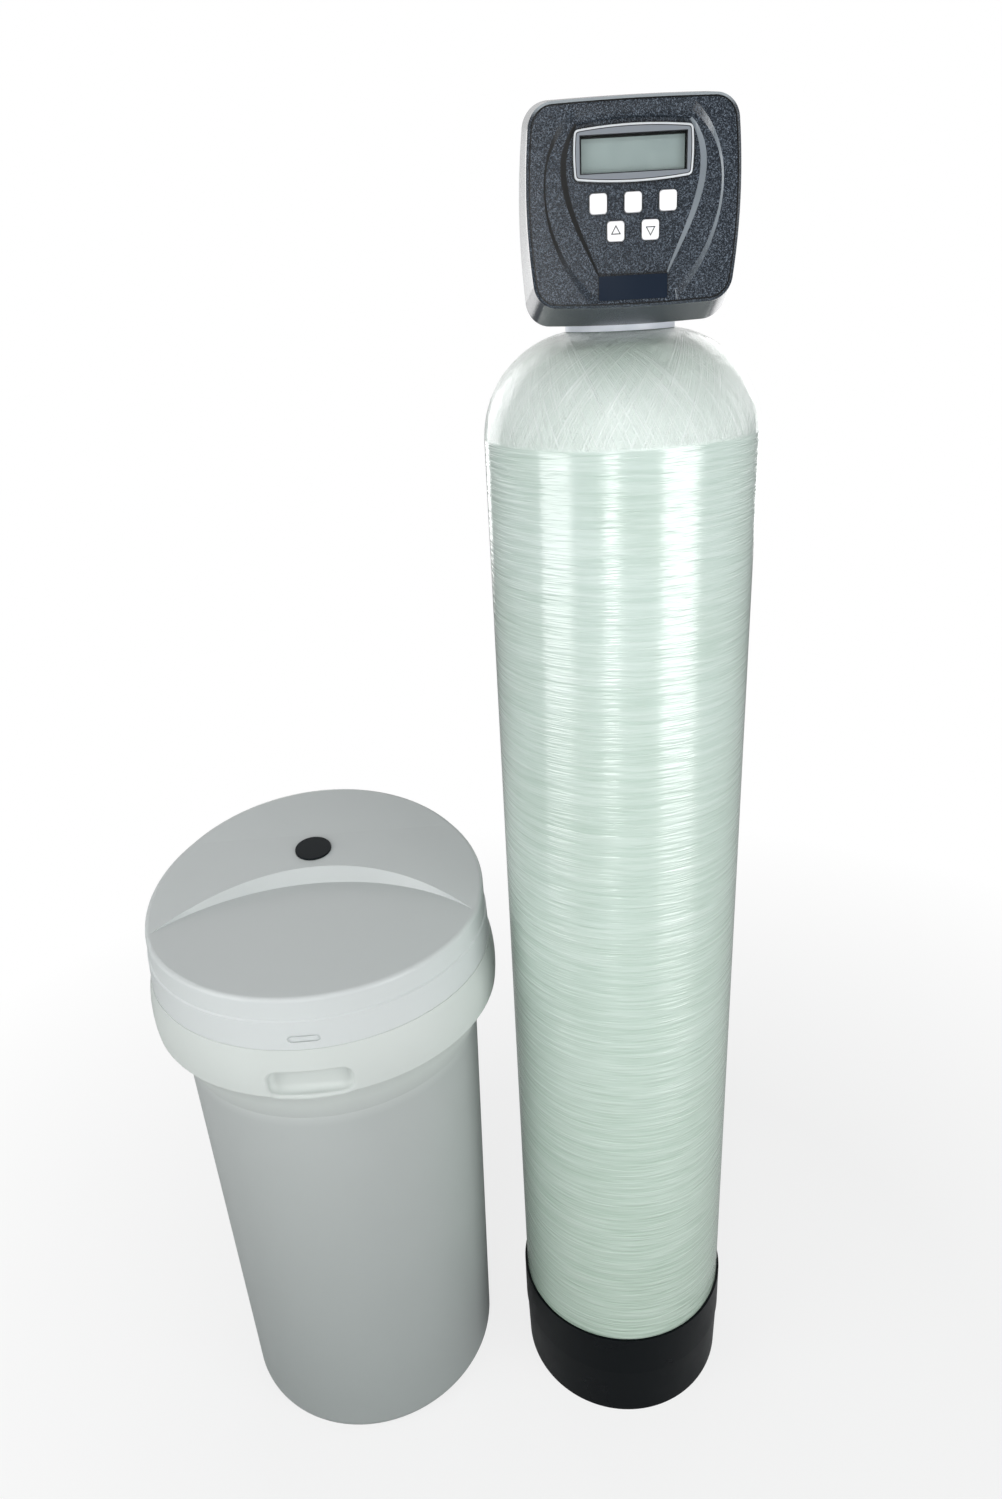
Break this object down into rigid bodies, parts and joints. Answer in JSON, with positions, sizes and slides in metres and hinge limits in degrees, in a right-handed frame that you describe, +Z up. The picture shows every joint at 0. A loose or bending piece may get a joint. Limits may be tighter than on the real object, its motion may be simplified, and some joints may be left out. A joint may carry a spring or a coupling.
{
  "type": "water softener",
  "caption": "Water softener with a tall domed fibreglass resin vessel, an electronic control valve on its neck and a separate round brine tank with a lid.",
  "frame": {"origin": "centre of the resin vessel's foot, on the floor", "axes": "+Z up the resin vessel's axis, -Y out of the control valve's face, -X towards the brine tank"},
  "size_m": [0.6885, 0.406, 1.4875],
  "materials": {
    "wound_fibreglass": "pale green wound glass fibre under clear resin, satin",
    "liner_plastic": "blow-moulded white polyethylene",
    "neck_plastic": "moulded white plastic",
    "boot_plastic": "matt black polyethylene",
    "riser_plastic": "extruded white PVC pipe",
    "basket_plastic": "moulded light grey ABS",
    "gravel": "washed quartz gravel",
    "resin_beads": "amber ion exchange beads",
    "valve_plastic": "glass-filled black nylon",
    "rubber": "black nitrile rubber",
    "stack_plastic": "moulded black plastic",
    "piston_plastic": "smooth natural acetal",
    "gear_plastic": "natural white acetal",
    "pinion_brass": "machined brass",
    "motor_steel": "zinc-plated drawn steel can",
    "bracket_plastic": "moulded dark grey plastic",
    "board": "green glass-epoxy board",
    "lcd": "grey-green liquid crystal cell",
    "window": "clear polycarbonate",
    "bezel": "silver moulded plastic",
    "cover_plastic": "charcoal textured plastic with fine flecks",
    "key_rubber": "white silicone rubber",
    "blank_plastic": "dark blue-black bare plate",
    "fitting_plastic": "black moulded acetal",
    "turbine_plastic": "white moulded plastic",
    "connector_plastic": "white PVC",
    "split_ring_plastic": "black plastic",
    "tank_plastic": "warm light grey roto-moulded polyethylene",
    "lid_plastic": "warm light grey moulded polyethylene",
    "plug_plastic": "black moulded plastic",
    "well_plastic": "white PVC pipe",
    "grid_plastic": "grey moulded plastic",
    "float_plastic": "white expanded plastic",
    "tank_fitting_plastic": "black moulded plastic"
  },
  "bodies": {
    "softener": {"back_plate": "bracket_plastic", "blank_plate": "blank_plastic", "bottom_basket": "basket_plastic", "brine_tank": "tank_plastic", "brine_valve": "tank_fitting_plastic", "brine_well": "well_plastic", "circuit_board": "board", "cord_gland": "fitting_plastic", "display_bezel": "bezel", "display_window": "window", "drain_clip": "valve_plastic", "drive_bracket": "bracket_plastic", "drive_cap": "valve_plastic", "drive_motor": "motor_steel", "front_cover": "cover_plastic", "gear_cover": "bracket_plastic", "gravel_bed": "gravel", "injector": "fitting_plastic", "injector_cap": "valve_plastic", "lcd_display": "lcd", "meter_cap": "valve_plastic", "neck_insert": "neck_plastic", "overflow_elbow": "tank_fitting_plastic", "pickup_tube": "well_plastic", "port_connectors": "connector_plastic", "port_nuts": "valve_plastic", "resin_bed": "resin_beads", "resin_vessel": "wound_fibreglass", "riser_tube": "riser_plastic", "rubber_rings": "rubber", "salt_grid": "grid_plastic", "spacer_stack": "stack_plastic", "split_rings": "split_ring_plastic", "tank_adapter": "valve_plastic", "tank_elbow": "tank_fitting_plastic", "upper_basket": "basket_plastic", "valve_body": "valve_plastic", "vessel_boot": "boot_plastic", "vessel_liner": "liner_plastic", "wall_nuts": "tank_fitting_plastic"},
    "piston": {"main_piston": "piston_plastic", "regenerant_piston": "piston_plastic"},
    "drive_gear": {"drive_gear": "gear_plastic"},
    "second_gear": {"second_gear": "gear_plastic"},
    "first_gear": {"first_gear": "gear_plastic"},
    "motor_pinion": {"motor_pinion": "pinion_brass"},
    "left_key": {"left_key": "key_rubber"},
    "middle_key": {"middle_key": "key_rubber"},
    "right_key": {"right_key": "key_rubber"},
    "up_key": {"up_key": "key_rubber"},
    "down_key": {"down_key": "key_rubber"},
    "meter_turbine": {"meter_turbine": "turbine_plastic"},
    "drain_elbow": {"drain_elbow": "fitting_plastic"},
    "brine_elbow": {"brine_elbow": "fitting_plastic", "brine_elbow_nut": "fitting_plastic"},
    "lid": {"brine_lid": "lid_plastic", "lid_plug": "plug_plastic"},
    "well_cap": {"well_cap": "well_plastic"},
    "float": {"float_rod": "well_plastic", "brine_float": "float_plastic"}
  },
  "joints": [
    {"name": "drive_gear_spin", "type": "hinge", "parent": "softener", "child": "drive_gear", "pos_m": [0, -0.065, 1.404], "axis": [0, 1, 0], "range_deg": [0, 720]},
    {"name": "second_gear_spin", "type": "hinge", "parent": "softener", "child": "second_gear", "pos_m": [-0.03383, -0.075, 1.39169], "axis": [0, 1, 0], "range_deg": [-3600.5, 0.5]},
    {"name": "first_gear_spin", "type": "hinge", "parent": "softener", "child": "first_gear", "pos_m": [-0.05783, -0.08, 1.39169], "axis": [0, 1, 0], "range_deg": [-0.5, 10800.5]},
    {"name": "motor_spin", "type": "hinge", "parent": "softener", "child": "motor_pinion", "pos_m": [-0.04583, -0.08, 1.3709], "axis": [0, 1, 0], "range_deg": [-32401, 1]},
    {"name": "piston_stroke", "type": "slide", "parent": "softener", "child": "piston", "axis": [0, 1, 0], "range_m": [-0.00005, 0.03205]},
    {"name": "turbine_spin", "type": "hinge", "parent": "softener", "child": "meter_turbine", "pos_m": [-0.041, 0.066, 1.38], "axis": [1, 0, 0], "continuous": true},
    {"name": "drain_elbow_swivel", "type": "hinge", "parent": "softener", "child": "drain_elbow", "pos_m": [-0.032, 0.034, 1.452], "axis": [0, 0, 1], "range_deg": [-10, 90]},
    {"name": "brine_elbow_swivel", "type": "hinge", "parent": "softener", "child": "brine_elbow", "pos_m": [0.034, -0.008, 1.452], "axis": [0, 0, 1], "range_deg": [-90, 90]},
    {"name": "lid_lift", "type": "slide", "parent": "softener", "child": "lid", "axis": [0, 0, 1], "range_m": [0, 0.25]},
    {"name": "well_cap_lift", "type": "slide", "parent": "softener", "child": "well_cap", "axis": [0, 0, 1], "range_m": [0, 0.08]},
    {"name": "float_rise", "type": "slide", "parent": "softener", "child": "float", "axis": [0, 0, 1], "range_m": [0, 0.04]},
    {"name": "left_key_press", "type": "slide", "parent": "softener", "child": "left_key", "axis": [0, 1, 0], "range_m": [0, 0.0006], "stiffness_N_per_m": 600, "springref_m": -0.0015},
    {"name": "middle_key_press", "type": "slide", "parent": "softener", "child": "middle_key", "axis": [0, 1, 0], "range_m": [0, 0.0006], "stiffness_N_per_m": 600, "springref_m": -0.0015},
    {"name": "right_key_press", "type": "slide", "parent": "softener", "child": "right_key", "axis": [0, 1, 0], "range_m": [0, 0.0006], "stiffness_N_per_m": 600, "springref_m": -0.0015},
    {"name": "up_key_press", "type": "slide", "parent": "softener", "child": "up_key", "axis": [0, 1, 0], "range_m": [0, 0.0006], "stiffness_N_per_m": 600, "springref_m": -0.0015},
    {"name": "down_key_press", "type": "slide", "parent": "softener", "child": "down_key", "axis": [0, 1, 0], "range_m": [0, 0.0006], "stiffness_N_per_m": 600, "springref_m": -0.0015}
  ],
  "couplings": [
    {"joint": "second_gear_spin", "follows": "drive_gear_spin", "ratio": -5},
    {"joint": "first_gear_spin", "follows": "drive_gear_spin", "ratio": 15},
    {"joint": "motor_spin", "follows": "drive_gear_spin", "ratio": -45},
    {"joint": "piston_stroke", "follows": "drive_gear_spin", "m_per_rad": 0.0025465}
  ]
}
